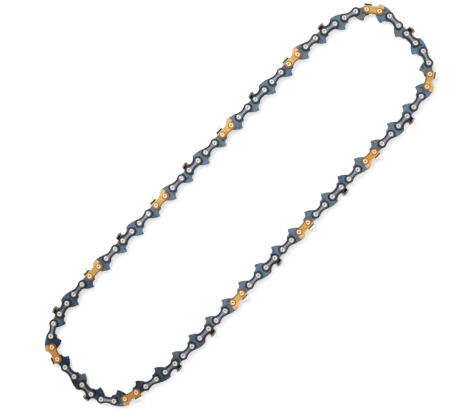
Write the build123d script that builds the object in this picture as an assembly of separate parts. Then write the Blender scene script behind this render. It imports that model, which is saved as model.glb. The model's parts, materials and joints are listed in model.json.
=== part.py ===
from build123d import *
import math
import os

# Chain: pitch, gauge and number of cutters (two drive links for each cutter)
CUTTERS = 23
DRIVE_SPAN = 8.69
STRAP_SPAN = 9.95
GAUGE = 1.27
PLATE = 1.20
SIDE_PLAY = 0.05

# Rivet: its hub turns in a drive link, its two shanks are fixed in the side plates
HUB_RADIUS = 2.40
HUB_PLAY = 0.05
SHANK_RADIUS = 1.60
SHANK_PLAY = 0.02
HEAD_RADIUS = 2.05
HEAD_HEIGHT = 0.45
HEAD_CHAMFER = 0.20
DIMPLE_RADIUS = 0.70
DIMPLE_DEPTH = 0.30

# Tie strap: two round ends, as on the foot of a cutter
STRAP_END_RADIUS = 3.40
STRAP_WAIST = 4.40

# Drive link: two round ends, and a tang that hooks forward
DRIVE_END_RADIUS = 3.30
DRIVE_WAIST = 4.60
TANG_DEPTH = 7.80
TANG_LEAD = 0.20
TANG_LAND = 0.90
TANG_ROUND = 0.40
SHOULDER_LEAD = 4.90
SHOULDER_DEPTH = 4.60
HOOK_SAG = 1.20
TANG_BULGE = 0.60

# Bumper: the ramp on the drive link ahead of each cutter
BUMPER_HEIGHT = 5.60
BUMPER_BACK = 4.30
BUMPER_RADIUS = 19.0
BUMPER_ROUND = 0.50

# Cutter: foot, depth gauge, gullet, side plate that steps out from the foot, and top plate
CUTTER_WAIST = 5.20
DEPTH_GAUGE_BACK = 0.20
DEPTH_GAUGE_FRONT = 3.00
DEPTH_GAUGE_HEIGHT = 5.50
DEPTH_GAUGE_NOSE = 4.70
BEND_HEIGHT = 3.20
GULLET_DEPTH = 0.30
STEP_RISE = 0.90
EDGE_LEAD = 4.10
HEEL_BACK = 2.40
KERF_HALF = 3.20
SIDE_LEAN = 0.30
CORNER_HEIGHT = 5.80
CHAMFER_IN = 0.70
CHAMFER_RISE = 0.55
TOP_HEIGHT = 6.50
TOP_REACH = 1.60
TOP_PLATE = 1.10
HEEL_DROP = 0.80
SIDE_RELIEF = 0.50
FILE_ANGLE = 30.0
FILE_RADIUS = 2.00
FILE_BELOW_TOP = 1.60

# Lie of the loop: rivets in each bent stretch of half the loop, and the turn at each one
EASE_LEAD_RIVETS = 4
EASE_TRAIL_RIVETS = 6
EASE_TURN = 2.9
CORNER_RIVETS = 4
CORNER_TURN = 18.8
END_RIVETS = 3

# Heights above the chain's middle plane
PLATE_INSIDE = GAUGE / 2 + SIDE_PLAY
PLATE_OUTSIDE = PLATE_INSIDE + PLATE
HEAD_TOP = PLATE_OUTSIDE + HEAD_HEIGHT

# Places along a side plate, from the middle of its two rivets
FRONT_RIVET = STRAP_SPAN / 2
REAR_RIVET = -STRAP_SPAN / 2
EDGE = REAR_RIVET + EDGE_LEAD
HEEL = REAR_RIVET - HEEL_BACK


def tangent_point(centre: Vector, radius: float, point: Vector, side: int) -> Vector:
    """Where a line from the point touches the circle: side 1 is anticlockwise from it."""
    away = point - centre
    angle = math.atan2(away.Y, away.X) + side * math.acos(radius / away.length)
    return centre + Vector(math.cos(angle), math.sin(angle)) * radius


def circles_meet(first: Vector, first_radius: float, second: Vector, second_radius: float) -> Vector:
    """Where two circles cross, on the right of the line from the first centre to the second."""
    gap = second - first
    ahead = gap.normalized()
    along = (gap.length**2 + first_radius**2 - second_radius**2) / (2 * gap.length)
    across = math.sqrt(first_radius**2 - along**2)
    return first + ahead * along + Vector(ahead.Y, -ahead.X) * across


def waist_tangent(span: float, radius: float, waist: float) -> Vector:
    """Where the waist's arc touches the front end's circle, above the middle line."""
    half = waist / 2
    arc = ((span / 2) ** 2 + half**2 - radius**2) / (2 * (radius - half))
    end, middle = Vector(span / 2, 0), Vector(0, half + arc)
    return end + (middle - end) * (radius / (radius + arc))


def waisted_face(span: float, radius: float, waist: float) -> Sketch:
    """Two round ends joined by a waist, with tangent arcs all round."""
    touch = waist_tangent(span, radius, waist)
    x, y, tip = touch.X, touch.Y, span / 2 + radius
    outline = Curve() + [
        ThreePointArc((-x, y), (0, waist / 2), (x, y)),
        ThreePointArc((x, y), (tip, 0), (x, -y)),
        ThreePointArc((x, -y), (0, -waist / 2), (-x, -y)),
        ThreePointArc((-x, -y), (-tip, 0), (-x, y)),
    ]
    return make_face(outline)


def hole_pair(span: float, radius: float) -> Sketch:
    """The two rivet holes of a link."""
    return Pos(span / 2, 0) * Circle(radius) + Pos(-span / 2, 0) * Circle(radius)


def drive_face(bumper: bool) -> Sketch:
    """Outline of a drive link: round ends, hooked tang and, on some, a bumper on top."""
    radius = DRIVE_END_RADIUS
    front, rear = Vector(DRIVE_SPAN / 2, 0), Vector(-DRIVE_SPAN / 2, 0)
    tip = Vector(TANG_LEAD, -TANG_DEPTH)
    shoulder = Vector(SHOULDER_LEAD, -SHOULDER_DEPTH)
    land = tip + (shoulder - tip).normalized() * TANG_LAND
    rear_low = tangent_point(rear, radius, tip, -1)
    front_low = tangent_point(front, radius, shoulder, 1)
    if bumper:
        peak = Vector(-BUMPER_BACK, BUMPER_HEIGHT)
        rear_high = tangent_point(rear, radius, peak, 1)
        ramp = circles_meet(peak, BUMPER_RADIUS, front, BUMPER_RADIUS - radius)
        front_high = ramp + (front - ramp).normalized() * BUMPER_RADIUS
        halfway = ramp + ((peak + front_high) * 0.5 - ramp).normalized() * BUMPER_RADIUS
        top = [Line(rear_high, peak), ThreePointArc(peak, halfway, front_high)]
    else:
        front_high = waist_tangent(DRIVE_SPAN, radius, DRIVE_WAIST)
        rear_high = Vector(-front_high.X, front_high.Y)
        top = [ThreePointArc(rear_high, (0, DRIVE_WAIST / 2), front_high)]
    outline = Curve() + [
        *top,
        ThreePointArc(front_high, front + Vector(radius, 0), front_low),
        Line(front_low, shoulder),
        SagittaArc(shoulder, land, -HOOK_SAG),
        Line(land, tip),
        SagittaArc(tip, rear_low, TANG_BULGE),
        ThreePointArc(rear_low, rear - Vector(radius, 0), rear_high),
    ]
    face = make_face(outline)
    face = fillet(face.vertices().sort_by(Axis.Y)[0], TANG_ROUND)
    if bumper:
        face = fillet(face.vertices().sort_by(Axis.Y)[-1], BUMPER_ROUND)
    return face


def drive_link(bumper: bool) -> Solid:
    """Drive link about the chain's middle plane, bored for the rivets' hubs."""
    face = drive_face(bumper) - hole_pair(DRIVE_SPAN, HUB_RADIUS + HUB_PLAY)
    return extrude(face, GAUGE / 2, both=True).solid()


def side_plate(face: Sketch) -> Part:
    """A plate on the upper side of the chain, bored for the rivets' shanks."""
    bored = face - hole_pair(STRAP_SPAN, SHANK_RADIUS + SHANK_PLAY)
    return Pos(0, 0, PLATE_INSIDE) * extrude(bored, PLATE)


def tie_strap() -> Solid:
    """Tie strap on the upper side."""
    return side_plate(waisted_face(STRAP_SPAN, STRAP_END_RADIUS, STRAP_WAIST)).solid()


def slant(height: float) -> float:
    """How far the filed edge falls back at a height above the middle plane."""
    return (KERF_HALF - height) * math.tan(math.radians(FILE_ANGLE))


def flat_face() -> Sketch:
    """The flat part of a cutter: strap-shaped foot, depth gauge, gullet and heel."""
    gauge_back = FRONT_RIVET - DEPTH_GAUGE_BACK
    side_edge = EDGE - slant(PLATE_OUTSIDE)
    length = gauge_back - side_edge
    gullet = length + GULLET_DEPTH - math.sqrt(2 * length * GULLET_DEPTH)
    middle = gauge_back - gullet
    crown = make_face(
        Polyline(
            (REAR_RIVET - STRAP_END_RADIUS, 0),
            (HEEL, BEND_HEIGHT),
            (middle, BEND_HEIGHT),
            (middle, DEPTH_GAUGE_HEIGHT),
            (gauge_back, DEPTH_GAUGE_HEIGHT),
            (FRONT_RIVET + DEPTH_GAUGE_FRONT, DEPTH_GAUGE_NOSE),
            (FRONT_RIVET + STRAP_END_RADIUS, 0),
            close=True,
        )
    )
    foot = waisted_face(STRAP_SPAN, STRAP_END_RADIUS, CUTTER_WAIST)
    return foot + crown - Pos(middle, BEND_HEIGHT - GULLET_DEPTH + gullet) * Circle(gullet)


def crossing(start: Vector, along: Vector, other: Vector, other_along: Vector) -> Vector:
    """Where two lines in a section cross."""
    gap = other - start
    share = (gap.X * other_along.Y - gap.Y * other_along.X) / (
        along.X * other_along.Y - along.Y * other_along.X
    )
    return start + along * share


def bent_section(drop: float, relief: float) -> list[Vector]:
    """Section of the bent plate (height above the middle plane, distance outward).

    Args:
        drop: how much lower the top plate lies than at the cutting edge.
        relief: how much closer the corner is to the middle plane than at the edge.

    Returns:
        The outside from the bend to the free edge, then the inside back to the bend.
    """
    share = 1 - drop / (TOP_HEIGHT - BEND_HEIGHT)
    corner_z = KERF_HALF - relief
    bend = Vector(PLATE_OUTSIDE, BEND_HEIGHT)
    step = Vector(corner_z - SIDE_LEAN, BEND_HEIGHT + STEP_RISE * share)
    corner = Vector(corner_z, BEND_HEIGHT + (CORNER_HEIGHT - BEND_HEIGHT) * share)
    chamfer = corner + Vector(-CHAMFER_IN, CHAMFER_RISE * share)
    free = Vector(-TOP_REACH, BEND_HEIGHT + (TOP_HEIGHT - BEND_HEIGHT) * share)
    step_along, top_along = step - bend, free - chamfer
    inner_step = bend + step_along.rotate(Axis.Z, 90).normalized() * PLATE
    inner_top = chamfer + top_along.rotate(Axis.Z, 90).normalized() * TOP_PLATE
    inner_bend = crossing(inner_step, step_along, Vector(PLATE_INSIDE, 0), Vector(0, 1))
    inner_corner = crossing(inner_step, step_along, inner_top, top_along)
    inner_free = inner_top + top_along
    base = Vector(PLATE_INSIDE, BEND_HEIGHT)
    outside = [bend, step, corner, chamfer, free]
    return outside + [inner_free, inner_corner, inner_bend, base]


def bent_plate() -> Part:
    """Side plate that steps out, chamfered corner and top plate, all falling to the heel."""
    slope = 1 / math.cos(math.radians(FILE_ANGLE))
    edge_plane = Plane(
        (EDGE, 0, KERF_HALF),
        x_dir=(math.tan(math.radians(FILE_ANGLE)), 0, 1),
        z_dir=(-1, 0, math.tan(math.radians(FILE_ANGLE))),
    )
    heel_plane = Plane((HEEL, 0, 0), x_dir=(0, 0, 1), z_dir=(-1, 0, 0))
    front = [((p.X - KERF_HALF) * slope, p.Y) for p in bent_section(0, 0)]
    rear = [(p.X, p.Y) for p in bent_section(HEEL_DROP, SIDE_RELIEF)]
    faces = [
        edge_plane * make_face(Polyline(*front, close=True)),
        heel_plane * make_face(Polyline(*rear, close=True)),
    ]
    return loft(faces, ruled=True) - file_cut()


def file_cut() -> Part:
    """The round file's path, which hollows the front of the top and side plates."""
    lead = math.sqrt(FILE_RADIUS**2 - FILE_BELOW_TOP**2)
    axis_x = EDGE + lead / math.cos(math.radians(FILE_ANGLE))
    place = Pos(axis_x, TOP_HEIGHT - FILE_BELOW_TOP, KERF_HALF) * Rot(0, FILE_ANGLE, 0)
    return place * Cylinder(FILE_RADIUS, 4 * (KERF_HALF + TOP_REACH))


def cutter() -> Solid:
    """Right-hand cutter, on the upper side."""
    return (side_plate(flat_face()) + bent_plate()).solid()


def rivet() -> Solid:
    """Rivet with a hub, two shanks and two peened heads, each with a centre dimple."""
    upper = [
        (0, HEAD_TOP - DIMPLE_DEPTH),
        (DIMPLE_RADIUS, HEAD_TOP),
        (HEAD_RADIUS - HEAD_CHAMFER, HEAD_TOP),
        (HEAD_RADIUS, HEAD_TOP - HEAD_CHAMFER),
        (HEAD_RADIUS, PLATE_OUTSIDE),
        (SHANK_RADIUS, PLATE_OUTSIDE),
        (SHANK_RADIUS, PLATE_INSIDE),
        (HUB_RADIUS, PLATE_INSIDE),
    ]
    lower = [(radius, -height) for radius, height in reversed(upper)]
    profile = Plane.XZ * make_face(Polyline(*upper, *lower, close=True))
    return revolve(profile, Axis.Z).solid()


def half_turns() -> list[float]:
    """Turn in degrees at each rivet of half the loop, from the joining rivet on."""
    bent = EASE_LEAD_RIVETS + EASE_TRAIL_RIVETS + 2 * CORNER_RIVETS + END_RIVETS
    eased = (EASE_LEAD_RIVETS + EASE_TRAIL_RIVETS) * EASE_TURN
    end_turn = (180 - eased - 2 * CORNER_RIVETS * CORNER_TURN) / END_RIVETS
    corner = [CORNER_TURN] * CORNER_RIVETS
    return (
        [0.0] * (2 * CUTTERS - bent)
        + [EASE_TURN] * EASE_LEAD_RIVETS
        + corner
        + [end_turn] * END_RIVETS
        + corner
        + [EASE_TURN] * EASE_TRAIL_RIVETS
    )


def rivet_centres() -> list[Vector]:
    """Rivets in order round the loop, about its middle; the second half mirrors the first."""
    spans = (DRIVE_SPAN, STRAP_SPAN)
    point, heading, centres = Vector(0, 0), 0.0, []
    for index, turn in enumerate(half_turns() * 2):
        heading += turn
        centres.append(point)
        point = point + Vector(spans[index % 2], 0).rotate(Axis.Z, heading)
    middle = sum(centres, Vector(0, 0)) * (1 / len(centres))
    return [centre - middle for centre in centres]


def between(front: Vector, rear: Vector) -> Location:
    """Place of a link on its two rivets: x runs forward, y outward from the loop."""
    return Plane((front + rear) * 0.5, x_dir=front - rear, z_dir=(0, 0, 1)).location


def turned_over(piece: Solid) -> Solid:
    """The same plate made for the lower side of the chain."""
    return piece.mirror(Plane.XY)


def build_nodes() -> dict[str, dict[str, Solid]]:
    """Every node of the loop, as its named pieces, about the loop's middle.

    Returns:
        For each cutter, the cutter link and the strap link behind it. A right-hand
        cutter is a node of its own, beside the rest of its link.
    """
    centres = rivet_centres()
    centres.append(centres[0])
    upper_strap, right_cutter, pin = tie_strap(), cutter(), rivet()
    lower_strap, left_cutter = turned_over(upper_strap), turned_over(right_cutter)
    drives = {True: drive_link(True), False: drive_link(False)}
    nodes = {}
    for link in range(2 * CUTTERS):
        is_cutter = link % 2 == 0
        number = link // 2 + 1
        lead, front, rear = centres[2 * link : 2 * link + 3]
        plates, drive = between(front, rear), between(lead, front)
        pieces = {
            "drive_link": drive * drives[is_cutter],
            "front_rivet": Pos(front.X, front.Y) * pin,
            "rear_rivet": Pos(rear.X, rear.Y) * pin,
        }
        if not is_cutter:
            pieces["upper_strap"] = plates * upper_strap
            pieces["lower_strap"] = plates * lower_strap
            nodes[f"strap_link_{number:02d}"] = pieces
        elif number % 2:
            pieces["upper_strap"] = plates * upper_strap
            pieces["left_cutter"] = plates * left_cutter
            nodes[f"cutter_link_{number:02d}"] = pieces
        else:
            pieces["lower_strap"] = plates * lower_strap
            nodes[f"cutter_link_{number:02d}"] = pieces
            nodes[f"right_cutter_{number:02d}"] = {"right_cutter": plates * right_cutter}
    return nodes


def to_origin(nodes: dict[str, dict[str, Solid]]) -> Vector:
    """Shift that brings the loop's box over the origin, lying on the ground."""
    box = Compound([s for pieces in nodes.values() for s in pieces.values()]).bounding_box()
    return Vector(-box.center().X, -box.center().Y, -box.min.Z)


NODES = build_nodes()
SHIFT = to_origin(NODES)
os.makedirs("parts", exist_ok=True)
for name, pieces in NODES.items():
    solids = []
    for label, piece in pieces.items():
        solid = Pos(SHIFT) * piece
        solid.label = label
        solids.append(solid)
    export_step(Compound(label=name, children=solids), f"parts/{name}.step")
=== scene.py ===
import json
import logging
import math
from collections.abc import Callable, Iterable
from dataclasses import dataclass, field
from enum import Enum

import bpy
from bpy.types import ID, Material, Node, NodeSocket, NodeTree, Object
from mathutils import Matrix, Vector


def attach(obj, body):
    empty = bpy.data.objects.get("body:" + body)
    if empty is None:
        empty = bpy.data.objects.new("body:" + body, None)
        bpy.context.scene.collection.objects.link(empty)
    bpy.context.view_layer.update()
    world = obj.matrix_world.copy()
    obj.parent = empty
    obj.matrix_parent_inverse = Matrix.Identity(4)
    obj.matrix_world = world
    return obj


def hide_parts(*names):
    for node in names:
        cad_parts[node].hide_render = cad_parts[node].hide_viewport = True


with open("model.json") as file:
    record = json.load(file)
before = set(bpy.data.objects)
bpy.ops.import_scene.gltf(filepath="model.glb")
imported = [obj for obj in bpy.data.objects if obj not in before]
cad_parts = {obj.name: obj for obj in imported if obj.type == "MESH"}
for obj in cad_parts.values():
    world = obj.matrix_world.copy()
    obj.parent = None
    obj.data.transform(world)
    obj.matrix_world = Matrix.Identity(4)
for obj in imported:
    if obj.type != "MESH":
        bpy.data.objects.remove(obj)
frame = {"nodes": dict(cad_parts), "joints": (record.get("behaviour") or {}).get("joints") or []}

LOG = logging.getLogger("saw_chain")
MM = 0.001
PLACE = "link_place"
RIM = "link_rim"
MERGE_WITHIN = 0.001 * MM
FLAT_WITHIN = math.radians(0.5)
SHARP_FROM = math.radians(35)
SMOOTH_UP_TO = math.radians(50)
RIM_TILT = 0.95
SRGB_KNEE = 0.04045
SRGB_SLOPE = 12.92
SRGB_OFFSET = 0.055
SRGB_POWER = 2.4
WHITE = (1.0, 1.0, 1.0, 1.0)
MIX_FIRST, MIX_SECOND, MIX_RESULT = 6, 7, 2

Colour = tuple[float, float, float, float]
Feed = NodeSocket | float | tuple


def paint(red: int, green: int, blue: int) -> Colour:
    """Turns a colour as a screen shows it, from 0 to 255, into a shader's linear values."""
    shown = [channel / 255 for channel in (red, green, blue)]
    linear = [
        c / SRGB_SLOPE if c <= SRGB_KNEE else ((c + SRGB_OFFSET) / (1 + SRGB_OFFSET)) ** SRGB_POWER
        for c in shown
    ]
    return (*linear, 1.0)


class Side(Enum):
    """Side of the chain that a plate lies on, as the sign of its height."""

    UPPER = 1
    LOWER = -1


class Socket(Enum):
    """Kinds of socket that the shared effects have."""

    VALUE = "NodeSocketFloat"
    VECTOR = "NodeSocketVector"


class Select(Enum):
    """What edit mode selects."""

    EDGES = "EDGE"
    FACES = "FACE"


@dataclass
class NodeSheet:
    """A node tree that is being filled in.

    Attributes:
        tree: the material's, world's or group's node tree.
    """

    tree: NodeTree

    def add(self, kind: str, **settings: str | float | bool) -> Node:
        """Adds a node of a kind, sets properties of it by name, and returns it."""
        node = self.tree.nodes.new(kind)
        for name, value in settings.items():
            setattr(node, name, value)
        return node

    def feed(self, socket: NodeSocket, value: Feed) -> None:
        """Links an output to a socket, or sets the socket's own value."""
        if isinstance(value, NodeSocket):
            self.tree.links.new(value, socket)
        else:
            socket.default_value = value

    def fill(self, node: Node, **values: Feed) -> Node:
        """Feeds a node's inputs, by name with underscores for spaces, and returns the node."""
        for name, value in values.items():
            self.feed(node.inputs[name.replace("_", " ")], value)
        return node

    def math(self, operation: str, *values: Feed) -> NodeSocket:
        """Adds a Math node with its inputs in order, and returns its output."""
        node = self.add("ShaderNodeMath", operation=operation)
        for socket, value in zip(node.inputs, values):
            self.feed(socket, value)
        return node.outputs[0]

    def blend(self, share: Feed, first: Feed, second: Feed) -> NodeSocket:
        """Mixes two colours, from the first at a share of 0 to the second at 1."""
        node = self.add("ShaderNodeMix", data_type="RGBA")
        self.feed(node.inputs["Factor"], share)
        self.feed(node.inputs[MIX_FIRST], first)
        self.feed(node.inputs[MIX_SECOND], second)
        return node.outputs[MIX_RESULT]

    def between(
        self, value: Feed, low: Feed, high: Feed, floor: float = 0.0, roof: float = 1.0
    ) -> NodeSocket:
        """Eases from floor to roof as a value goes from low to high, which may be the lower one."""
        node = self.add("ShaderNodeMapRange", interpolation_type="SMOOTHSTEP")
        for socket, entry in zip(node.inputs, (value, low, high, floor, roof)):
            self.feed(socket, entry)
        return node.outputs[0]

    def step(self, value: Feed, mark: float, soft: float) -> NodeSocket:
        """Eases from 0 to 1 across a mark, soft to either side; from 1 to 0 if soft is below 0."""
        return self.between(value, mark - soft, mark + soft)

    def squares(self, first: Feed, second: Feed) -> NodeSocket:
        """Adds the squares of two values."""
        return self.math("ADD", *(self.math("POWER", value, 2.0) for value in (first, second)))

    def split(self, vector: Feed) -> tuple[NodeSocket, ...]:
        """Returns the three parts of a vector."""
        node = self.add("ShaderNodeSeparateXYZ")
        self.feed(node.inputs[0], vector)
        return tuple(node.outputs)

    def group(self, effect: NodeTree, **values: Feed) -> NodeSocket:
        """Places a shared effect, fills in its inputs and returns its output."""
        return self.fill(self.add("ShaderNodeGroup", node_tree=effect), **values).outputs[0]


@dataclass
class Effects:
    """Surface effects that several finishes share, each one a node group.

    Attributes:
        patina: cloudy patches, from the place on the object.
        rim: 0 at the outline of a waisted plate, rising to 1 inside it.
        halo: 1 round the rivets of a plate, falling to 0 away from them.
        grain: height of the fine lines that rolling and grinding leave along a link.
        patina_detail: octaves of the noise in the patches.
        patina_roughness: how strong the finer octaves are.
        grain_detail: octaves of the noise in the lines.
        grain_draw: how the noise is scaled along, across and through a link, to draw it out.
    """

    patina_detail: float = 5.0
    patina_roughness: float = 0.62
    grain_detail: float = 3.0
    grain_draw: tuple[float, float, float] = (0.12, 1.0, 1.0)
    patina: NodeTree = field(init=False)
    rim: NodeTree = field(init=False)
    halo: NodeTree = field(init=False)
    grain: NodeTree = field(init=False)

    def __post_init__(self) -> None:
        """Builds the groups."""
        self.patina = self._patina()
        self.rim = self._rim()
        self.halo = self._halo()
        self.grain = self._grain()

    @staticmethod
    def _start(
        name: str, inputs: Iterable[str], output: str
    ) -> tuple[NodeSheet, Node, NodeSocket]:
        """Starts a node group with a place and named values as inputs, and one value as output."""
        tree = bpy.data.node_groups.new(name, "ShaderNodeTree")
        tree.interface.new_socket(name="Place", in_out="INPUT", socket_type=Socket.VECTOR.value)
        for label in inputs:
            tree.interface.new_socket(name=label, in_out="INPUT", socket_type=Socket.VALUE.value)
        tree.interface.new_socket(name=output, in_out="OUTPUT", socket_type=Socket.VALUE.value)
        sheet = NodeSheet(tree)
        given = sheet.add("NodeGroupInput")
        result = sheet.add("NodeGroupOutput")
        return sheet, given, result.inputs[0]

    def _patina(self) -> NodeTree:
        """Returns cloudy patches: noise, cut off below Low and above High."""
        sheet, given, result = self._start("patina", ("Scale", "Low", "High"), "Mask")
        place, scale, low, high = given.outputs[:4]
        noise = sheet.add("ShaderNodeTexNoise")
        sheet.fill(noise, Vector=place, Scale=scale)
        sheet.fill(noise, Detail=self.patina_detail, Roughness=self.patina_roughness)
        sheet.feed(result, sheet.between(noise.outputs[0], low, high))
        return sheet.tree

    @staticmethod
    def _from_rivet(sheet: NodeSheet, given: Node) -> tuple[NodeSocket, ...]:
        """Returns distances along a link from its middle, across it, and from its nearer rivet."""
        forward, outward, _ = sheet.split(given.outputs["Place"])
        along, across = sheet.math("ABSOLUTE", forward), sheet.math("ABSOLUTE", outward)
        past = sheet.math("SUBTRACT", along, given.outputs["Half Span"])
        return along, across, sheet.math("SQRT", sheet.squares(past, across))

    def _rim(self) -> NodeTree:
        """Returns 0 up to a depth of Start inside a plate's outline, and 1 from Full on.

        The waist is an arc that touches both round ends, about a point beside the plate.
        """
        names = ("Half Span", "End Radius", "Half Waist", "Start", "Full")
        sheet, given, result = self._start("plate_rim", names, "Face")
        span, radius, waist, start, full = (given.outputs[name] for name in names)
        along, across, from_rivet = self._from_rivet(sheet, given)
        above = sheet.math("SUBTRACT", sheet.squares(span, waist), sheet.math("POWER", radius, 2.0))
        flare = sheet.math("SUBTRACT", radius, waist)
        arc = sheet.math("DIVIDE", above, sheet.math("MULTIPLY", flare, 2.0))
        middle = sheet.math("ADD", arc, waist)
        drop = sheet.math("SUBTRACT", middle, across)
        in_neck = sheet.math("SUBTRACT", sheet.math("SQRT", sheet.squares(along, drop)), arc)
        in_end = sheet.math("SUBTRACT", radius, from_rivet)
        lengthwise = sheet.math("DIVIDE", along, span)
        crosswise = sheet.math("DIVIDE", across, middle)
        at_end = sheet.math("GREATER_THAN", sheet.math("ADD", lengthwise, crosswise), 1.0)
        change = sheet.math("MULTIPLY", at_end, sheet.math("SUBTRACT", in_end, in_neck))
        depth = sheet.math("ADD", in_neck, change)
        sheet.feed(result, sheet.between(depth, start, full))
        return sheet.tree

    def _halo(self) -> NodeTree:
        """Returns a ring round each rivet: 1 up to Inner, 0 from Outer on."""
        sheet, given, result = self._start("rivet_halo", ("Half Span", "Inner", "Outer"), "Mask")
        _, _, from_rivet = self._from_rivet(sheet, given)
        ring = sheet.between(from_rivet, given.outputs["Outer"], given.outputs["Inner"])
        sheet.feed(result, ring)
        return sheet.tree

    def _grain(self) -> NodeTree:
        """Returns noise drawn out along the link."""
        sheet, given, result = self._start("rolled_grain", ("Scale",), "Height")
        drawn = sheet.add("ShaderNodeVectorMath", operation="MULTIPLY")
        sheet.feed(drawn.inputs[0], given.outputs["Place"])
        sheet.feed(drawn.inputs[1], self.grain_draw)
        scale, lines = given.outputs["Scale"], drawn.outputs[0]
        noise = sheet.add("ShaderNodeTexNoise")
        sheet.fill(noise, Vector=lines, Scale=scale, Detail=self.grain_detail)
        sheet.feed(result, noise.outputs[0])
        return sheet.tree


@dataclass(frozen=True)
class Clouds:
    """Patches out of noise: none up to its low value, full from its high one."""

    per_metre: float
    low: float
    high: float


@dataclass(frozen=True)
class Ramp:
    """A mask that eases from 0 at its start to its share where it is full."""

    start: float
    full: float
    share: float = 1.0


@dataclass(frozen=True)
class Outline:
    """A plate with a round end on each of its two rivets and a waist, in millimetres."""

    half_span: float = 4.975
    end_radius: float = 3.40
    half_waist: float = 2.20


@dataclass(frozen=True)
class Sheen:
    """How a surface reflects light.

    Attributes:
        metal: how metallic it is.
        rough: its roughness where the mask for it is 0.
        rough_full: its roughness where that mask is 1.
        grain: lines of rolling or grinding for each millimetre.
        depth: how strongly the lines show.
    """

    metal: float
    rough: float
    rough_full: float
    grain: float
    depth: float


@dataclass
class Coat:
    """A material that is being built, with what every finish of the chain reads.

    Attributes:
        name: the material's name.
        effects: the shared effects.
        colour: its colour so far.
        end_shade_reach: where along the loop the painted shade at one end sets in, in metres.
        end_shade_clouds: its patches.
        grain_height: height of the lines of rolling or grinding.
        spot: the place on the whole loop.
        place: the place on the link, in millimetres: along it, out from the loop and up.
        rim: 1 on the faces of the link's rim, 0 on its flats.
    """

    name: str
    effects: Effects
    colour: Feed
    # painted shade: the loop is painted darker, in clouds, towards one end
    end_shade_reach: Ramp = Ramp(-0.05, -0.17)
    end_shade_clouds: Clouds = Clouds(60.0, 0.26, 0.56)
    grain_height: float = 0.05 * MM
    sheet: NodeSheet = field(init=False)
    shader: Node = field(init=False)
    spot: NodeSocket = field(init=False)
    place: NodeSocket = field(init=False)
    along: NodeSocket = field(init=False)
    out: NodeSocket = field(init=False)
    up: NodeSocket = field(init=False)
    rim: NodeSocket = field(init=False)
    material: Material = field(init=False)

    def __post_init__(self) -> None:
        """Makes the material and the nodes that read the surface."""
        self.material = bpy.data.materials.new(self.name)
        self.material.use_nodes = True
        self.sheet = NodeSheet(self.material.node_tree)
        self.shader = self.sheet.tree.nodes["Principled BSDF"]
        self.spot = self.sheet.add("ShaderNodeTexCoord").outputs["Object"]
        self.place = self.sheet.add("ShaderNodeAttribute", attribute_name=PLACE).outputs["Vector"]
        self.along, self.out, self.up = self.sheet.split(self.place)
        self.rim = self.sheet.add("ShaderNodeAttribute", attribute_name=RIM).outputs["Fac"]

    def patches(self, clouds: Clouds) -> NodeSocket:
        """Cloudy patches that differ from link to link."""
        return self.sheet.group(
            self.effects.patina,
            Place=self.spot,
            Scale=clouds.per_metre,
            Low=clouds.low,
            High=clouds.high,
        )

    def ramp(self, value: Feed, ramp: Ramp) -> NodeSocket:
        """A mask that eases in as a value goes from the ramp's start to where it is full."""
        return self.sheet.between(value, ramp.start, ramp.full, 0.0, ramp.share)

    def both(self, first: Feed, second: Feed) -> NodeSocket:
        """A mask where two masks meet, or a share of one."""
        return self.sheet.math("MULTIPLY", first, second)

    def lay(self, mask: Feed, colour: Feed) -> None:
        """Lays a colour over the colour so far, where a mask is."""
        self.colour = self.sheet.blend(mask, self.colour, colour)

    def shaded_end(self) -> NodeSocket:
        """Painted shade: how dark the loop is painted, deepening in clouds towards one end of it.
        """
        lengthwise = self.sheet.split(self.spot)[0]
        return self.both(self.ramp(lengthwise, self.end_shade_reach), self.patches(self.end_shade_clouds))

    def around(self, ring: Ramp, half_span: float = 0.0) -> NodeSocket:
        """A ring round each rivet of a link, by the distance from the rivet's middle."""
        mask = self.sheet.group(
            self.effects.halo,
            Place=self.place,
            Half_Span=half_span,
            Inner=ring.full,
            Outer=ring.start,
        )
        return self.both(mask, ring.share)

    def inside(self, outline: Outline, depth: Ramp) -> NodeSocket:
        """A mask by how deep inside a plate's outline a place is."""
        return self.sheet.group(
            self.effects.rim,
            Place=self.place,
            Half_Span=outline.half_span,
            End_Radius=outline.end_radius,
            Half_Waist=outline.half_waist,
            Start=depth.start,
            Full=depth.full,
        )

    def finish(self, sheen: Sheen, roughened: Feed) -> Material:
        """Feeds the shader; a mask goes from the sheen's one roughness to the other."""
        sheet = self.sheet
        lines = sheet.group(self.effects.grain, Place=self.place, Scale=sheen.grain)
        rough = sheet.between(roughened, 0.0, 1.0, sheen.rough, sheen.rough_full)
        bump = sheet.add("ShaderNodeBump")
        sheet.fill(bump, Strength=sheen.depth, Distance=self.grain_height, Height=lines)
        sheet.fill(self.shader, Base_Color=self.colour, Metallic=sheen.metal)
        sheet.fill(self.shader, Roughness=rough, Normal=bump.outputs[0])
        return self.material


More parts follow.
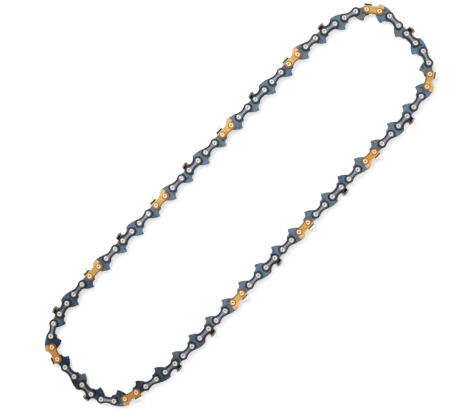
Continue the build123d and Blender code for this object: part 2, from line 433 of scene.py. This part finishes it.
@dataclass(frozen=True)
class BluedSteel:
    """Heat-blued drive links: blue, teal, grey and violet, with navy patches and dark rims of
    painted shade.
    """

    steel: Colour = paint(112, 134, 157)
    teal: Colour = paint(98, 125, 138)
    teal_clouds: Clouds = Clouds(160.0, 0.38, 0.62)
    grey: Colour = paint(118, 129, 128)
    grey_clouds: Clouds = Clouds(52.0, 0.46, 0.62)
    violet: Colour = paint(86, 100, 148)
    violet_clouds: Clouds = Clouds(84.0, 0.54, 0.70)
    navy: Colour = paint(46, 56, 80)
    navy_clouds: Clouds = Clouds(330.0, 0.50, 0.72)
    # deep: painted shade towards one end of the loop
    deep: Colour = paint(38, 49, 70)
    worn: Colour = paint(150, 166, 178)
    worn_clouds: Clouds = Clouds(900.0, 0.62, 0.80)
    # painted shade: this colour darkens the side faces and rounded edges of each drive link
    rim_shade: Colour = paint(30, 38, 54)
    rim_shade_share: float = 0.85
    rough_clouds: Clouds = Clouds(500.0, 0.3, 0.7)
    sheen: Sheen = Sheen(0.85, 0.30, 0.52, 3.0, 0.35)

    def material(self, effects: Effects) -> Material:
        """Returns the finish as a material."""
        coat = Coat("blued_steel", effects, self.steel)
        coat.lay(coat.patches(self.teal_clouds), self.teal)
        coat.lay(coat.patches(self.grey_clouds), self.grey)
        coat.lay(coat.patches(self.violet_clouds), self.violet)
        coat.lay(coat.patches(self.navy_clouds), self.navy)
        # painted shade, darker towards one end of the loop
        coat.lay(coat.shaded_end(), self.deep)
        coat.lay(coat.patches(self.worn_clouds), self.worn)
        # painted shade on the rim faces
        coat.lay(coat.both(coat.rim, self.rim_shade_share), self.rim_shade)
        return coat.finish(self.sheen, coat.patches(self.rough_clouds))


@dataclass(frozen=True)
class GroundStrap:
    """Tie straps: blue-black at their edges, with a grey face and a bright streak in the middle as
    painted highlight.
    """

    outline: Outline = Outline()
    black: Colour = paint(36, 40, 48)
    blue: Colour = paint(54, 62, 76)
    blue_clouds: Clouds = Clouds(420.0, 0.45, 0.7)
    # painted highlight: a grey face inside the outline, where the flat reflects the light
    painted_sheen: Colour = paint(106, 110, 122)
    painted_sheen_depth: Ramp = Ramp(0.5, 1.4)
    painted_sheen_clouds: Clouds = Clouds(260.0, 0.15, 0.5)
    # bright: painted highlight, a streak down the middle of the face
    bright: Colour = paint(170, 172, 184)
    bright_depth: Ramp = Ramp(1.45, 2.05)
    bright_clouds: Clouds = Clouds(520.0, 0.25, 0.5)
    end_shade_share: float = 0.8
    bright_at_dark: float = 0.45
    sheen: Sheen = Sheen(0.85, 0.42, 0.32, 4.0, 0.5)

    def material(self, effects: Effects) -> Material:
        """Returns the finish as a material."""
        coat = Coat("ground_strap", effects, self.black)
        # painted shade towards one end of the loop darkens the face and dims the streak
        dark = coat.both(coat.shaded_end(), self.end_shade_share)
        face = coat.inside(self.outline, self.painted_sheen_depth)
        streak = coat.inside(self.outline, self.bright_depth)
        fade = coat.sheet.between(coat.shaded_end(), 0.0, 1.0, 1.0, self.bright_at_dark)
        # painted highlight: the face grey inside the outline, and the bright streak in the middle
        painted_sheen = coat.sheet.blend(dark, self.painted_sheen, self.black)
        bright = coat.both(streak, coat.patches(self.bright_clouds))
        coat.lay(coat.patches(self.blue_clouds), self.blue)
        coat.lay(coat.both(face, coat.patches(self.painted_sheen_clouds)), painted_sheen)
        coat.lay(coat.both(bright, fade), self.bright)
        return coat.finish(self.sheen, face)


@dataclass(frozen=True)
class RivetSteel:
    """Bright rivets: cream-silver heads with a darker dimple and hub; each head's darker rim is
    painted shade.
    """

    name: str = "rivet_steel"
    silver: Colour = paint(232, 234, 229)
    shade: Colour = paint(186, 170, 152)
    pit: Colour = paint(166, 140, 118)
    hub: Colour = paint(126, 118, 110)
    shade_clouds: Clouds = Clouds(700.0, 0.45, 0.75)
    end_shade_share: float = 0.45
    dimple: Ramp = Ramp(0.88, 0.44)
    # crown: the head's colour inside it; outside it the hub colour darkens the head's rim as
    # painted shade
    crown: Ramp = Ramp(1.98, 1.45)
    rough_clouds: Clouds = Clouds(600.0, 0.3, 0.7)
    sheen: Sheen = Sheen(0.75, 0.24, 0.42, 6.0, 0.3)

    def material(self, effects: Effects) -> Material:
        """Returns the finish as a material."""
        coat = Coat(self.name, effects, self.hub)
        # painted shade towards one end of the loop darkens the heads
        dark = coat.both(coat.shaded_end(), self.end_shade_share)
        head = coat.sheet.blend(coat.patches(self.shade_clouds), self.silver, self.shade)
        # painted shade: the head darkens to the hub colour past the crown
        coat.lay(coat.around(self.crown), coat.sheet.blend(dark, head, self.shade))
        coat.lay(coat.around(self.dimple), self.pit)
        return coat.finish(self.sheen, coat.patches(self.rough_clouds))


# painted reflection: the gold plates' warm tint painted on the rivets of the gold cutters
GOLD_REFLECTION_RIVET = RivetSteel(
    name="gilt_rivet",
    silver=paint(252, 232, 198),
    shade=paint(222, 168, 112),
    pit=paint(180, 122, 80),
    hub=paint(172, 120, 72),
)


@dataclass(frozen=True)
class GoldCutter:
    """Right-hand cutters: gold foot, a brown step of painted shade, a bright chromed side plate,
    and a chromed top plate painted grey as shade.

    Attributes:
        peach_along: where the foot turns peach, towards its front.
        pale_out: where it turns pale, outward.
        halo: copper round the rivets.
        ring: painted shadow, brown next to their heads.
        inner_shade_depth: how deep the painted shade along the inner edge goes.
        inner_shade_out: where that shade ends, outward.
        behind_gullet: where the side plate starts, along the foot.
        step_start: where the step starts, outward.
        step_end: where the side plate's chrome starts.
        corner: where the top plate starts.
        soft: half the width of those three changes.
    """

    outline: Outline = Outline(half_waist=2.60)
    gold: Colour = paint(216, 164, 84)
    pale: Colour = paint(242, 206, 132)
    pale_clouds: Clouds = Clouds(300.0, 0.35, 0.65)
    pale_out: Ramp = Ramp(0.6, 3.0, 0.4)
    amber: Colour = paint(222, 158, 54)
    amber_clouds: Clouds = Clouds(26.0, 0.42, 0.60)
    amber_share: float = 0.8
    peach: Colour = paint(228, 180, 132)
    peach_along: Ramp = Ramp(3.0, 6.5, 0.8)
    copper: Colour = paint(188, 128, 70)
    end_shade_share: float = 0.85
    halo: Ramp = Ramp(3.3, 2.2, 0.45)
    # brown: painted shadow round the rivet heads and painted shade along the inner edge
    brown: Colour = paint(92, 58, 30)
    ring: Ramp = Ramp(2.6, 2.1, 0.6)
    # painted shade along the inner edge of the foot
    inner_shade_depth: Ramp = Ramp(0.35, 1.30)
    inner_shade_out: Ramp = Ramp(2.4, 1.6, 0.85)
    # step: painted shade on the step's face
    step: Colour = paint(86, 66, 48)
    chrome: Colour = paint(250, 250, 247)
    # steel: painted shade, grey on the corner and top plate
    steel: Colour = paint(104, 98, 102)
    behind_gullet: Ramp = Ramp(0.9, 0.1)
    step_start: float = 3.15
    step_end: float = 4.25
    corner: float = 5.80
    soft: float = 0.1
    sheen: Sheen = Sheen(0.8, 0.34, 0.16, 4.0, 0.25)

    def _foot(self, coat: Coat) -> None:
        """Lays the colours of the foot."""
        edge = coat.sheet.math("SUBTRACT", 1.0, coat.inside(self.outline, self.inner_shade_depth))
        coat.lay(coat.patches(self.pale_clouds), self.pale)
        coat.lay(coat.both(coat.patches(self.amber_clouds), self.amber_share), self.amber)
        coat.lay(coat.ramp(coat.along, self.peach_along), self.peach)
        coat.lay(coat.ramp(coat.out, self.pale_out), self.pale)
        # painted shade: copper towards one end of the loop
        coat.lay(coat.both(coat.shaded_end(), self.end_shade_share), self.copper)
        coat.lay(coat.around(self.halo, self.outline.half_span), self.copper)
        # painted shadow of the rivet heads, a brown ring round them
        coat.lay(coat.around(self.ring, self.outline.half_span), self.brown)
        # painted shade: brown along the inner edge of the foot
        coat.lay(coat.both(edge, coat.ramp(coat.out, self.inner_shade_out)), self.brown)

    def _past(self, coat: Coat, height: float) -> NodeSocket:
        """Returns 1 beyond a distance outward on the plate behind the gullet, and 0 elsewhere."""
        behind = coat.ramp(coat.along, self.behind_gullet)
        return coat.both(behind, coat.sheet.step(coat.out, height, self.soft))

    def material(self, effects: Effects) -> Material:
        """Returns the finish as a material."""
        coat = Coat("gold_cutter", effects, self.gold)
        plated = self._past(coat, self.step_end)
        self._foot(coat)
        # painted shade: brown on the step between foot and side plate
        coat.lay(self._past(coat, self.step_start), self.step)
        coat.lay(plated, self.chrome)
        # painted shade: grey past the corner, drawing the top plate's dark outline
        coat.lay(self._past(coat, self.corner), self.steel)
        return coat.finish(self.sheen, plated)


@dataclass(frozen=True)
class BronzeCutter:
    """Left-hand cutters: dark bronze, with tan on the top plate's free edge and where a file has
    cut: painted highlight, over bare filed steel at the cut.

    Attributes:
        stripe: where the tan ends, outward.
        edge_up: height of the free edge.
        soft: half the width of the changes there.
        filed_out: where the filed edge starts, outward.
        filed_along: where it starts, along the foot.
        filed_soft: half the width of the changes there.
    """

    bronze: Colour = paint(114, 96, 88)
    bronze_clouds: Clouds = Clouds(360.0, 0.4, 0.68)
    black: Colour = paint(66, 58, 56)
    # tan: painted highlight where the edges catch the light, also bare filed steel at the cut
    tan: Colour = paint(166, 150, 140)
    stripe: float = 5.90
    edge_up: float = 1.3
    soft: float = 0.1
    filed_out: float = 3.6
    filed_along: float = -4.2
    filed_soft: float = 0.2
    rough_clouds: Clouds = Clouds(500.0, 0.3, 0.7)
    sheen: Sheen = Sheen(0.8, 0.3, 0.5, 4.0, 0.3)

    def material(self, effects: Effects) -> Material:
        """Returns the finish as a material."""
        coat = Coat("bronze_cutter", effects, self.black)
        sheet = coat.sheet
        free_edge = sheet.step(coat.up, self.edge_up, self.soft)
        ahead = sheet.step(coat.along, self.filed_along, self.filed_soft)
        beyond = sheet.step(coat.out, self.filed_out, self.filed_soft)
        filed = coat.both(coat.both(ahead, beyond), coat.rim)
        below = sheet.step(coat.out, self.stripe, -self.soft)
        coat.lay(coat.patches(self.bronze_clouds), self.bronze)
        # painted highlight: tan on the free edge and on the filed front face
        coat.lay(coat.both(sheet.math("MAXIMUM", free_edge, filed), below), self.tan)
        return coat.finish(self.sheen, coat.patches(self.rough_clouds))


def axes_on(front: Vector, rear: Vector) -> Matrix:
    """Returns the axes of a piece on two rivets: x forward, y outward from the loop, z up."""
    forward = (front - rear).normalized()
    up = Vector((0.0, 0.0, 1.0))
    outward = up.cross(forward)
    matrix = Matrix((forward, outward, up)).transposed().to_4x4()
    matrix.translation = (front + rear) / 2
    return matrix


@dataclass(frozen=True)
class LinkPlace:
    """Where one link of the loop lies.

    Attributes:
        body: the body that its pieces ride on, and the CAD node of the same name.
        lead: the rivet that its drive link turns on.
        front: the rivet that holds its drive link and its plates.
        rear: the rivet at its plates' other end.
    """

    body: str
    lead: Vector
    front: Vector
    rear: Vector

    @property
    def drive_axes(self) -> Matrix:
        """Axes of the drive link."""
        return axes_on(self.lead, self.front)

    @property
    def plate_axes(self) -> Matrix:
        """Axes of the plates."""
        return axes_on(self.front, self.rear)

    @property
    def is_cutter(self) -> bool:
        """Whether the link carries a cutter."""
        return self.body.startswith("cutter")

    @property
    def number(self) -> int:
        """The link's number among its kind."""
        return int(self.body[-2:])

    @property
    def cutter_side(self) -> Side:
        """Side of the chain that the link's cutter is on."""
        return Side.LOWER if self.number % 2 else Side.UPPER

    @property
    def cutter_node(self) -> str:
        """The CAD node that holds the link's cutter."""
        return self.body if self.cutter_side is Side.LOWER else f"right_cutter_{self.number:02d}"


@dataclass
class Loop:
    """The links of the loop in order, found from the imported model.

    Attributes:
        dimple_floor: height of a rivet's dimple over the chain's middle plane.
        apart: distance within which two corners belong to one rivet.
        middle: height of the middle plane.
        links: the places of the links.
    """

    dimple_floor: float = 2.035 * MM
    apart: float = 1.0 * MM
    middle: float = field(init=False)
    links: list[LinkPlace] = field(init=False)

    def __post_init__(self) -> None:
        """Finds the rivets of every link."""
        hinges = [Vector(joint["pos_m"]) for joint in frame["joints"]]
        self.middle = hinges[0].z
        bodies = [self._body_name(index) for index in range(len(hinges) + 1)]
        pairs = [self._rivets(body) for body in bodies]
        rears = [self._from_near(pair, hinge)[0] for pair, hinge in zip(pairs, hinges)]
        rears.append(self._from_near(pairs[-1], hinges[-1])[-1])
        fronts = [self._from_near(pair, rear)[-1] for pair, rear in zip(pairs, rears)]
        leads = [rears[-1], *rears[:-1]]
        self.links = [LinkPlace(*entry) for entry in zip(bodies, leads, fronts, rears)]

    @staticmethod
    def _from_near(rivets: list[Vector], mark: Vector) -> list[Vector]:
        """Returns rivets in the order of their distance from a mark."""
        return sorted(rivets, key=lambda rivet: (rivet - mark).length)

    @staticmethod
    def _body_name(index: int) -> str:
        """Names the link at an index round the loop."""
        kind = "strap_link" if index % 2 else "cutter_link"
        return f"{kind}_{index // 2 + 1:02d}"

    def _rivets(self, body: str) -> list[Vector]:
        """Finds the middles of a link's two rivets by the floors of their dimples."""
        found: list[Vector] = []
        for vertex in frame["nodes"][body].data.vertices:
            spot = Vector((vertex.co.x, vertex.co.y, self.middle))
            at_floor = abs(vertex.co.z - self.middle - self.dimple_floor) < 2 * MERGE_WITHIN
            if at_floor and all((spot - other).length > self.apart for other in found):
                found.append(spot)
        return found

    def first(self, test: Callable[[LinkPlace], bool]) -> LinkPlace:
        """Returns the first link that passes a test."""
        return next(link for link in self.links if test(link))


def add_object(name: str, data: ID) -> Object:
    """Adds an object that shows some data to the scene."""
    made = bpy.data.objects.new(name, data)
    bpy.context.scene.collection.objects.link(made)
    return made


def select_only(shape: Object) -> None:
    """Leaves one object selected and active, in object mode."""
    if bpy.context.mode != "OBJECT":
        bpy.ops.object.mode_set(mode="OBJECT")
    bpy.ops.object.select_all(action="DESELECT")
    bpy.context.view_layer.objects.active = shape
    shape.select_set(True)


def open_mesh(shape: Object, choice: Select) -> None:
    """Opens a piece alone in edit mode, with nothing selected."""
    select_only(shape)
    bpy.ops.object.mode_set(mode="EDIT")
    bpy.ops.mesh.select_mode(type=choice.value)
    bpy.ops.mesh.select_all(action="DESELECT")


def open_whole(shape: Object) -> None:
    """Opens a piece alone in edit mode, with all of it selected."""
    open_mesh(shape, Select.FACES)
    bpy.ops.mesh.select_all(action="SELECT")


def close_mesh() -> None:
    """Goes back to object mode."""
    bpy.ops.object.mode_set(mode="OBJECT")


@dataclass
class PieceModel:
    """One shape of the chain, modelled once about its own rivets and copied to its places.

    Attributes:
        shape: the object that holds it: x forward, y outward, z up from the middle plane.
    """

    shape: Object

    @classmethod
    def from_node(cls, node: str, axes: Matrix, low: float, high: float) -> "PieceModel":
        """Takes the piece between two heights over the middle plane out of a copy of a CAD node."""
        copy = add_object("model", frame["nodes"][node].data.copy())
        copy.data.transform(axes.inverted())
        open_whole(copy)
        bpy.ops.mesh.remove_doubles(threshold=MERGE_WITHIN)
        bpy.ops.mesh.dissolve_limited(angle_limit=FLAT_WITHIN)
        bpy.ops.mesh.select_all(action="SELECT")
        bpy.ops.mesh.separate(type="LOOSE")
        close_mesh()
        parts = list(bpy.context.selected_objects)

        def misfit(part: Object) -> float:
            """Returns how far a part's heights are from the wanted ones."""
            heights = [vertex.co.z for vertex in part.data.vertices]
            return abs(min(heights) - low) + abs(max(heights) - high)

        best = min(parts, key=misfit)
        for part in parts:
            if part is not best:
                bpy.data.meshes.remove(part.data)
        return cls(best)

    def round_edges(
        self, width: float, steps: int, wanted: Callable[[Vector, Vector], bool]
    ) -> None:
        """Rounds the sharp edges whose two ends pass a test, in some steps across a width."""
        mesh = self.shape.data
        open_mesh(self.shape, Select.EDGES)
        bpy.ops.mesh.edges_select_sharp(sharpness=SHARP_FROM)
        close_mesh()
        sharp = [edge for edge in mesh.edges if edge.select]
        ends = {edge.index: [mesh.vertices[v].co for v in edge.vertices] for edge in sharp}
        chosen = [index for index, pair in ends.items() if wanted(*pair)]
        open_mesh(self.shape, Select.EDGES)
        close_mesh()
        for index in chosen:
            mesh.edges[index].select = True
        bpy.ops.object.mode_set(mode="EDIT")
        bpy.ops.mesh.bevel(offset=width, segments=steps, affect="EDGES", clamp_overlap=False)
        close_mesh()

    def weld(self, within: float) -> None:
        """Joins corners that are closer than a distance, which takes out slivers."""
        open_whole(self.shape)
        bpy.ops.mesh.remove_doubles(threshold=within)
        close_mesh()

    def smooth(self) -> None:
        """Shades the model smooth across blunt edges, with its flats kept flat."""
        select_only(self.shape)
        bpy.ops.object.shade_smooth_by_angle(angle=SMOOTH_UP_TO)
        bpy.ops.object.modifier_add(type="WEIGHTED_NORMAL")
        weighted = self.shape.modifiers[-1]
        weighted.keep_sharp = True
        bpy.ops.object.modifier_apply(modifier=weighted.name)

    def measure(self) -> None:
        """Stores each corner's place on the link, in millimetres, and which faces are its rim."""
        mesh = self.shape.data
        places = mesh.attributes.new(PLACE, "FLOAT_VECTOR", "POINT")
        for vertex, entry in zip(mesh.vertices, places.data):
            entry.vector = vertex.co / MM
        rims = mesh.attributes.new(RIM, "FLOAT", "FACE")
        for face, entry in zip(mesh.polygons, rims.data):
            entry.value = 1.0 if abs(face.normal.z) < RIM_TILT else 0.0

    def settle(self) -> "PieceModel":
        """Shades and measures the finished model, and returns it."""
        self.smooth()
        self.measure()
        return self

    def copy_to(self, name: str, axes: Matrix, link: LinkPlace, node: str) -> Object:
        """Copies the model to its axes on a link, in place of a CAD node, and returns the piece."""
        piece = add_object(name, self.shape.data.copy())
        piece.data.transform(axes)
        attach(piece, link.body)
        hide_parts(node)
        return piece

    def clear(self) -> None:
        """Removes the model itself, once its copies are placed."""
        bpy.data.meshes.remove(self.shape.data)


def dress(piece: Object, material: Material) -> None:
    """Gives a piece its finish, and reports it."""
    piece.data.materials.clear()
    piece.data.materials.append(material)
    LOG.info("%s: %d faces, %s", piece.name, len(piece.data.polygons), material.name)


def every_edge(_start: Vector, _end: Vector) -> bool:
    """Accepts every sharp edge."""
    return True


@dataclass
class DriveLinks:
    """The drive links: plain ones, and those with a bumper ahead of each cutter.

    Attributes:
        half_gauge: half the thickness of a drive link.
        edge: rounding of its edges.
        edge_steps: segments across it.
        finish: its finish.
    """

    half_gauge: float = 0.635 * MM
    edge: float = 0.22 * MM
    edge_steps: int = 2
    finish: BluedSteel = BluedSteel()

    def _model(self, link: LinkPlace) -> PieceModel:
        """Returns the model of the drive link that a link has."""
        model = PieceModel.from_node(link.body, link.drive_axes, -self.half_gauge, self.half_gauge)
        model.round_edges(self.edge, self.edge_steps, every_edge)
        return model.settle()

    def build(self, loop: Loop, effects: Effects) -> None:
        """Places a drive link on every link of the loop and dresses it."""
        material = self.finish.material(effects)
        for with_bumper in (True, False):
            model = self._model(loop.first(lambda link: link.is_cutter is with_bumper))
            for link in (link for link in loop.links if link.is_cutter is with_bumper):
                piece = model.copy_to(f"{link.body}_drive_link", link.drive_axes, link, link.body)
                dress(piece, material)
            model.clear()


@dataclass
class TieStraps:
    """The tie straps, on both sides between cutters and across from each cutter.

    Attributes:
        inside: height of a strap's inner face over the middle plane.
        outside: height of its outer face.
        roll: rounding of the outline on the outer face.
        roll_steps: segments across it.
        edge: rounding of the inner face's edges.
        edge_steps: segments across it.
        bore: distance from a rivet up to which an edge belongs to its hole.
        half_span: half the distance between a strap's rivets.
        finish: its finish.
    """

    inside: float = 0.685 * MM
    outside: float = 1.885 * MM
    roll: float = 0.20 * MM
    roll_steps: int = 3
    edge: float = 0.08 * MM
    edge_steps: int = 1
    bore: float = 1.80 * MM
    half_span: float = 4.975 * MM
    finish: GroundStrap = GroundStrap()

    def _outline(self, start: Vector, end: Vector) -> bool:
        """Says whether an edge is on the outline of the outer face, and not round a rivet hole."""
        middle = (start + end) / 2
        outer = abs(middle.z) > self.outside - MERGE_WITHIN
        return outer and math.hypot(abs(middle.x) - self.half_span, middle.y) > self.bore

    def _inner(self, start: Vector, end: Vector) -> bool:
        """Says whether an edge is on the inner face."""
        return abs((start + end).z) / 2 < self.inside + MERGE_WITHIN

    def _model(self, link: LinkPlace, side: Side) -> PieceModel:
        """Returns the model of the strap on a side of a link."""
        low, high = sorted((side.value * self.inside, side.value * self.outside))
        model = PieceModel.from_node(link.body, link.plate_axes, low, high)
        model.round_edges(self.roll, self.roll_steps, self._outline)
        model.round_edges(self.edge, self.edge_steps, self._inner)
        return model.settle()

    def build(self, loop: Loop, effects: Effects) -> None:
        """Places and dresses the straps of every link."""
        material = self.finish.material(effects)
        pattern = loop.first(lambda link: not link.is_cutter)
        for side in Side:
            model = self._model(pattern, side)
            for link in loop.links:
                if link.is_cutter and link.cutter_side is side:
                    continue
                name = f"{link.body}_{side.name.lower()}_strap"
                dress(model.copy_to(name, link.plate_axes, link, link.body), material)
            model.clear()


@dataclass
class Cutters:
    """The cutters of one side.

    Attributes:
        side: the side of the chain that they are on.
        finish: their finish.
        slot: the record's slot for it; not used.
        top_reach: how far the top plate reaches past the middle plane.
        kerf_half: how far the side plate stands from the middle plane.
        edge: rounding of the edges.
        edge_steps: segments across it.
        sliver: width up to which a facet is closed.
    """

    side: Side
    finish: GoldCutter | BronzeCutter
    slot: str
    top_reach: float = 1.60 * MM
    kerf_half: float = 3.20 * MM
    edge: float = 0.08 * MM
    edge_steps: int = 2
    sliver: float = 0.03 * MM

    def build(self, loop: Loop, effects: Effects) -> None:
        """Places and dresses the cutters."""
        material = self.finish.material(effects)
        links = [link for link in loop.links if link.is_cutter and link.cutter_side is self.side]
        low, high = sorted((-self.side.value * self.top_reach, self.side.value * self.kerf_half))
        model = PieceModel.from_node(links[0].cutter_node, links[0].plate_axes, low, high)
        model.weld(self.sliver)
        model.round_edges(self.edge, self.edge_steps, every_edge)
        model.settle()
        hand = "right" if self.side is Side.UPPER else "left"
        for link in links:
            name = f"{link.body}_{hand}_cutter"
            dress(model.copy_to(name, link.plate_axes, link, link.cutter_node), material)
        model.clear()


@dataclass
class Rivets:
    """The rivets: a hub, two shanks and two peened heads with a dimple.

    Attributes:
        sides: facets round a rivet.
        hub_radius: radius of the hub.
        shank_radius: radius of the shanks.
        head_radius: radius of the heads.
        inside: height of the hub's ends over the middle plane.
        outside: height where the heads start.
        head: height of a head.
        peen: height of a head's rounded edge.
        spread: width of that edge, seen along the rivet.
        dome_steps: rings across it.
        dimple_radius: radius of the dimple.
        dimple: its depth.
        dimple_rings: rings down the dimple, as shares of its depth and radius.
        finish: their finish.
        gilt: the finish of those in gold cutters, with the gold plates' reflection painted on as a
            warm tint.
    """

    sides: int = 28
    hub_radius: float = 2.40 * MM
    shank_radius: float = 1.60 * MM
    head_radius: float = 2.05 * MM
    inside: float = 0.685 * MM
    outside: float = 1.885 * MM
    head: float = 0.45 * MM
    peen: float = 0.36 * MM
    spread: float = 0.60 * MM
    dome_steps: int = 4
    dimple_radius: float = 0.70 * MM
    dimple: float = 0.30 * MM
    dimple_rings: tuple[tuple[float, float], ...] = ((0.7, 0.5), (1.0, 0.15))
    finish: RivetSteel = RivetSteel()
    gilt: RivetSteel = GOLD_REFLECTION_RIVET

    def _end_face(self, shape: Object, side: Side) -> None:
        """Opens the rivet with the flat face at one end selected."""
        open_mesh(shape, Select.FACES)
        close_mesh()
        end = max(shape.data.polygons, key=lambda face: side.value * face.center.z)
        end.select = True
        bpy.ops.object.mode_set(mode="EDIT")

    def _draw_out(self, rise: float, radius: float, was: float, height: float) -> None:
        """Extrudes the selected end by a rise, to a height, and gives it another radius."""
        bpy.ops.mesh.extrude_region_move(TRANSFORM_OT_translate={"value": (0.0, 0.0, rise)})
        share = radius / was
        bpy.ops.transform.resize(value=(share, share, 1.0), center_override=(0.0, 0.0, height))

    def _dome(self) -> list[tuple[float, float]]:
        """Returns the height and radius of each ring of a head's peened edge."""
        angles = [math.radians(90 * step / self.dome_steps) for step in range(self.dome_steps + 1)]
        foot, inner = self.outside + self.head - self.peen, self.head_radius - self.spread
        return [(foot + self.peen * math.sin(a), inner + self.spread * math.cos(a)) for a in angles]

    def _model(self) -> PieceModel:
        """Models one rivet from its hub, drawing each end out into a shank and a peened head."""
        bpy.ops.object.select_all(action="DESELECT")
        bpy.ops.mesh.primitive_cylinder_add(
            vertices=self.sides, radius=self.hub_radius, depth=2 * self.inside
        )
        shape = bpy.context.object
        top = self.outside + self.head
        hollow = [(top - d * self.dimple, r * self.dimple_radius) for d, r in self.dimple_rings]
        rings = [
            (self.inside, self.shank_radius),
            (self.outside, self.shank_radius),
            (self.outside, self.head_radius),
            *self._dome(),
            (top, self.dimple_radius),
            *hollow,
        ]
        for side in Side:
            self._end_face(shape, side)
            height, radius = self.inside, self.hub_radius
            for next_height, next_radius in rings:
                rise = side.value * (next_height - height)
                self._draw_out(rise, next_radius, radius, side.value * next_height)
                height, radius = next_height, next_radius
            close_mesh()
        model = PieceModel(shape)
        open_whole(shape)
        bpy.ops.mesh.normals_make_consistent(inside=False)
        close_mesh()
        return model.settle()

    def build(self, loop: Loop, effects: Effects) -> None:
        """Places and dresses the two rivets of every link."""
        plain, gilt = self.finish.material(effects), self.gilt.material(effects)
        model = self._model()
        for link in loop.links:
            material = gilt if link.is_cutter and link.cutter_side is Side.UPPER else plain
            for end, middle in (("front", link.front), ("rear", link.rear)):
                axes = Matrix.Translation(middle)
                piece = model.copy_to(f"{link.body}_{end}_rivet", axes, link, link.body)
                dress(piece, material)
        model.clear()


@dataclass
class Studio:
    """Pale floor, soft light from the upper left of the picture, and a camera straight above.

    Attributes:
        turn: how the camera is turned about the vertical, in degrees.
        aim_right: how far right of the loop's middle the camera looks, in the picture.
        aim_up: how far above it.
        width: what the picture is wide at the chain.
        lens: focal length in millimetres.
        sensor: width of the sensor in millimetres.
        key_power: power of the main lamp.
        key_size: its width.
        key_place: where it hangs: right, up in the picture, and over the floor.
        glow_from: where the dome is brightest, in the same way.
        glow_spread: cosines from that direction at which it is dimmest and brightest.
        glow_least: how bright it is where it is dimmest.
        floor_size: width of the floor.
        floor_drop: how far the floor lies under the chain.
        floor_grey: how much light the floor gives back.
        floor_rough: its roughness.
        floor_glow: light of its own where it is seen, so that it shows white.
    """

    turn: float = -46.85
    aim_right: float = -7.61 * MM
    aim_up: float = -1.72 * MM
    width: float = 355.1 * MM
    lens: float = 100.0
    sensor: float = 36.0
    key_power: float = 5.0
    key_size: float = 0.35
    key_place: tuple[float, float, float] = (-0.55, 0.55, 0.75)
    glow_from: tuple[float, float, float] = (-0.4, 0.4, 0.8)
    glow_spread: tuple[float, float] = (-0.2, 0.95)
    glow_least: float = 0.22
    floor_size: float = 6.0
    floor_drop: float = 0.02 * MM
    floor_grey: float = 0.80
    floor_rough: float = 0.9
    floor_glow: float = 0.45

    def _to_world(self, right: float, up: float, height: float = 0.0) -> Vector:
        """Turns a place in the picture, at a height, into one in the scene."""
        return Matrix.Rotation(math.radians(self.turn), 3, "Z") @ Vector((right, up, height))

    def camera(self, loop: Loop) -> None:
        """Sets up the camera over the loop."""
        data = bpy.data.cameras.new("camera")
        data.lens = self.lens
        data.sensor_width = self.sensor
        camera = add_object("camera", data)
        rivets = [rivet for link in loop.links for rivet in (link.front, link.rear)]
        middle = sum(rivets, Vector()) / len(rivets)
        camera.location = middle + self._to_world(self.aim_right, self.aim_up)
        camera.location.z += self.width * self.lens / self.sensor
        camera.rotation_euler = (0.0, 0.0, math.radians(self.turn))
        bpy.context.scene.camera = camera

    def lamps(self) -> None:
        """Hangs the main lamp at the upper left."""
        data = bpy.data.lights.new("key", "AREA")
        data.energy = self.key_power
        data.size = self.key_size
        lamp = add_object("key", data)
        lamp.location = self._to_world(*self.key_place)
        lamp.rotation_euler = (-lamp.location).to_track_quat("-Z", "Y").to_euler()
        lamp.visible_camera = False

    def world(self) -> None:
        """Sets a soft dome of light, brighter overhead and to the upper left."""
        world = bpy.data.worlds.new("studio")
        world.use_nodes = True
        bpy.context.scene.world = world
        sheet = NodeSheet(world.node_tree)
        direction = sheet.add("ShaderNodeTexCoord").outputs["Generated"]
        facing = sheet.add("ShaderNodeVectorMath", operation="DOT_PRODUCT")
        sheet.feed(facing.inputs[0], direction)
        sheet.feed(facing.inputs[1], self._to_world(*self.glow_from).normalized())
        glow = sheet.between(facing.outputs["Value"], *self.glow_spread, self.glow_least, 1.0)
        path = sheet.add("ShaderNodeLightPath")
        seen = sheet.math("MAXIMUM", glow, path.outputs["Is Camera Ray"])
        background = world.node_tree.nodes["Background"]
        sheet.fill(background, Color=WHITE, Strength=seen)

    def floor(self) -> None:
        """Lays the floor, which shows white and keeps the chain's shadow."""
        bpy.ops.object.select_all(action="DESELECT")
        place = (0.0, 0.0, -self.floor_drop)
        bpy.ops.mesh.primitive_plane_add(size=self.floor_size, location=place)
        floor = bpy.context.object
        floor.name = "floor"
        material = bpy.data.materials.new("white_floor")
        material.use_nodes = True
        sheet = NodeSheet(material.node_tree)
        shader = material.node_tree.nodes["Principled BSDF"]
        sheet.fill(shader, Base_Color=(*[self.floor_grey] * 3, 1.0), Roughness=self.floor_rough)
        path = sheet.add("ShaderNodeLightPath")
        shows = sheet.math("MAXIMUM", path.outputs["Is Camera Ray"], path.outputs["Is Glossy Ray"])
        shows = sheet.math("MAXIMUM", shows, path.outputs["Is Transmission Ray"])
        glow = sheet.math("MULTIPLY", shows, self.floor_glow)
        sheet.fill(shader, Emission_Color=WHITE, Emission_Strength=glow)
        floor.data.materials.append(material)

    def build(self, loop: Loop) -> None:
        """Sets up the whole studio."""
        bpy.context.scene.view_settings.view_transform = "Standard"
        self.floor()
        self.world()
        self.lamps()
        self.camera(loop)


def main() -> None:
    """Builds the loop's pieces and the studio."""
    logging.basicConfig(level=logging.INFO, format="%(message)s")
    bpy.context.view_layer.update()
    loop = Loop()
    effects = Effects()
    DriveLinks().build(loop, effects)
    TieStraps().build(loop, effects)
    Cutters(Side.UPPER, GoldCutter(), "gold_cutter").build(loop, effects)
    Cutters(Side.LOWER, BronzeCutter(), "blued_link").build(loop, effects)
    Rivets().build(loop, effects)
    Studio().build(loop)


if __name__ == "__main__":
    main()
